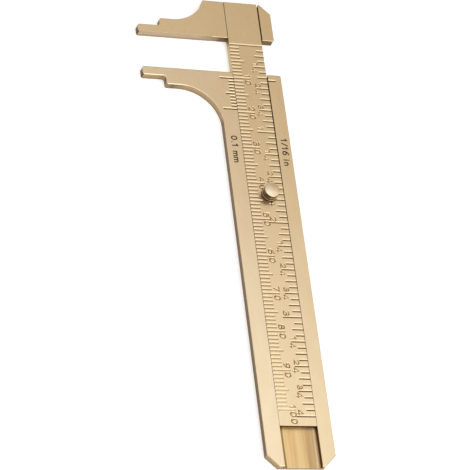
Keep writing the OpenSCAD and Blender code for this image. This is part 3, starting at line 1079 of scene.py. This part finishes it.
bar = bar_prism("scale_bar", brass, flanks, edges, bar_end_shadow)
zero_line = ruled_lines(
    "zero_line", ruler, lines=1, first_number=0, pitch=MM,
    start_x=BAR_LEFT, start_y=ZERO_Y, from_right=False,
    major_every=1, middle_every=1, minor_every=1,
    major_length=BAR_RIGHT - BAR_LEFT + OVERRUN, middle_length=0.0, minor_length=0.0, line_length=0.0,
    **soft_lines)
mm_scale = ruled_lines(
    "mm_scale", ruler, lines=100, first_number=1, pitch=MM,
    start_x=BAR_LEFT, start_y=ZERO_Y - MM, from_right=False,
    major_every=10, middle_every=5, minor_every=5,
    major_length=TEN_MM_LINE, middle_length=FIVE_MM_LINE, minor_length=MM_LINE, line_length=MM_LINE,
    **soft_lines)
inch_scale = ruled_lines(
    "inch_scale", ruler, lines=64, first_number=1, pitch=SIXTEENTH,
    start_x=BAR_RIGHT, start_y=ZERO_Y - SIXTEENTH, from_right=True,
    major_every=16, middle_every=4, minor_every=2,
    major_length=INCH_LINE, middle_length=QUARTER_LINE, minor_length=EIGHTH_LINE,
    line_length=SIXTEENTH_LINE, **inch_lines)
stop_slot = slot_cutter("stop_slot", pin_axis[0], STOP_SLOT_LOW, STOP_SLOT_HIGH, pin_radius + STOP_SLOT_ROOM,
                        0.0, STOP_SLOT_TOP, groove)
cut(bar, [zero_line, mm_scale, inch_scale, stop_slot] + bar_numbers(wall, dull))
shade(bar)

jaw = channel_plate("jaw_plate", *sliding_jaw_outlines(), BAR_BOTTOM, JAW_SEAM_SHARE,
                    brass, groove, jaw_edges, rim_painted_reflection)
rivet_radius = (rivet_high.x - rivet_low.x) / 2
rivet_axes = [(0.0, rivet_low.y + rivet_radius), (0.0, rivet_high.y - rivet_radius)]
cut(jaw, [hole_cutter("rivet_hole", axis, rivet_radius * RIVET_HOLE_ROOM, brass) for axis in rivet_axes])
shade(jaw)

profile = [(0, stud_low.z), (SHANK, stud_low.z), (SHANK, FACE)]
profile += [(FLANGE_FOOT, FACE), (FLANGE_FOOT, FACE + LIP)]
profile += arc(FLANGE - LIP, FLANGE_TOP - LIP, LIP, LIP, 0, 90, LIP_STEPS)
profile += arc(NECK + LIP, FLANGE_TOP + LIP, LIP, LIP, 270, 180, LIP_STEPS)
profile += arc(NECK + LIP, HEAD_LOW - LIP, LIP, LIP, 180, 90, LIP_STEPS)
profile += arc(HEAD - 2 * LIP, HEAD_LOW + 2 * LIP, 2 * LIP, 2 * LIP, 270, 360, HEAD_STEPS)
profile += arc(HEAD - LIP, HEAD_TOP - DOME - LIP, LIP, LIP, 0, 80, HEAD_STEPS)
crown_radius, crown_z = profile[-1]
for step in range(1, DOME_STEPS + 1):
    share = 1 - step / DOME_STEPS
    profile.append((crown_radius * share, HEAD_TOP - (HEAD_TOP - crown_z) * share ** 2))
stud = turned("stud", profile, stud_axis, polish)
stud.data.shade_smooth()
stud.data.set_sharp_from_angle(angle=STUD_SHARP_ANGLE)

rivet_profile = [(0, 0), (rivet_radius * RIVET_END_SHARE, 0), (rivet_radius, RIVET_EDGE),
                 (rivet_radius, rivet_high.z), (0, rivet_high.z)]
rivets = []
for name, axis in zip(("rivet_lower", "rivet_upper"), rivet_axes):
    rivets.append(turned(name, rivet_profile, axis, brass, RIVET_STEPS))

for name in ("friction_spring", "stop_pin"):
    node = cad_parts[name]
    node.data.materials.clear()
    node.data.materials.append(bronze)

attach(plate, "frame")
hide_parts("frame")
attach(bar, "slide")
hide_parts("slide_bar")
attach(jaw, "slide")
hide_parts("sliding_jaw")
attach(stud, "slide")
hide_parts("thumb_stud")
for rivet in rivets:
    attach(rivet, "slide")
    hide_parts("jaw_rivets")

# Studio: pale floor, soft lamps and the camera

FLOOR_LIFT = 0.44
FLOOR_REACH = 3.0
FLOOR_DROP = 0.03 * MM


def floor_paper():
    """White paper, lifted a little for what looks at it directly."""
    material, nodes, links, shader = new_material("floor_paper", 0.0)
    shader.inputs["Base Color"].default_value = (0.92, 0.92, 0.92, 1.0)
    shader.inputs["Roughness"].default_value = 0.9
    shader.inputs["Specular IOR Level"].default_value = 0.0
    shader.inputs["Emission Color"].default_value = (1.0, 1.0, 1.0, 1.0)
    path = nodes.new("ShaderNodeLightPath").outputs
    strength = path["Is Camera Ray"]
    for operation, other in (("MAXIMUM", path["Is Glossy Ray"]), ("MAXIMUM", path["Is Transmission Ray"]),
                             ("MULTIPLY", FLOOR_LIFT)):
        node = nodes.new("ShaderNodeMath")
        node.operation = operation
        links.new(strength, node.inputs[0])
        if isinstance(other, float):
            node.inputs[1].default_value = other
        else:
            links.new(other, node.inputs[1])
        strength = node.outputs[0]
    links.new(strength, shader.inputs["Emission Strength"])
    return material


shape = bmesh.new()
bmesh.ops.create_grid(shape, x_segments=1, y_segments=1, size=FLOOR_REACH)
bmesh.ops.translate(shape, verts=shape.verts, vec=(0.0, 0.0, -FLOOR_DROP))
floor = add_object("floor", shape, floor_paper())

world = bpy.data.worlds.new("studio")
world.use_nodes = True
world.node_tree.nodes["Background"].inputs["Color"].default_value = (1.0, 0.92, 0.82, 1.0)
world.node_tree.nodes["Background"].inputs["Strength"].default_value = 0.3
bpy.context.scene.world = world


def softbox(name, place, target, width, depth, glow):
    """A rectangular lamp that shines from place towards target. glow is the colour a mirror shows of it."""
    data = bpy.data.lights.new(name, "AREA")
    data.shape = "RECTANGLE"
    data.size = width
    data.size_y = depth
    data.color = [part / max(glow) for part in glow]
    data.energy = math.pi * width * depth * max(glow)
    lamp = bpy.data.objects.new(name, data)
    lamp.location = place
    lamp.rotation_euler = (Vector(target) - Vector(place)).to_track_quat("-Z", "Y").to_euler()
    bpy.context.scene.collection.objects.link(lamp)
    return lamp


softbox("overhead", (0.165, -0.075, 0.40), (0.165, -0.0751, 0.0), 0.55, 0.45, (0.86, 0.91, 1.01))
softbox("back", (0.165, 0.325, 0.40), (0.165, 0.3249, 0.0), 0.55, 0.35, (0.35, 0.295, 0.24))
softbox("left", (-0.27, 0.03, 0.40), (-0.27, 0.0299, 0.0), 0.28, 0.80, (0.95, 0.93, 0.9))
softbox("front", (0.25, -0.58, 0.40), (0.0, -0.04, 0.0), 0.50, 0.62, (1.9, 1.9, 1.9))

CAMERA_PLACE = Vector((-169.1, -269.0, 412.6)) * MM
CAMERA_AHEAD = Vector((0.3233, 0.4511, -0.8319))
CAMERA_UP = Vector((-0.0432, 0.8852, 0.4632))
FOCAL_PIXELS = 2057.5
PHOTO_PIXELS = 470
camera_data = bpy.data.cameras.new("camera")
camera_data.sensor_width = 36.0
camera_data.lens = FOCAL_PIXELS / PHOTO_PIXELS * camera_data.sensor_width
camera_data.clip_start = 0.01
camera_data.clip_end = 50.0
camera = bpy.data.objects.new("camera", camera_data)
ahead = CAMERA_AHEAD.normalized()
right_hand = ahead.cross(CAMERA_UP).normalized()
upwards = right_hand.cross(ahead)
turn = Matrix((right_hand, upwards, -ahead)).transposed().to_4x4()
camera.matrix_world = Matrix.Translation(CAMERA_PLACE) @ turn
bpy.context.scene.collection.objects.link(camera)
bpy.context.scene.camera = camera
bpy.context.scene.view_settings.view_transform = "Standard"

bpy.context.view_layer.update()
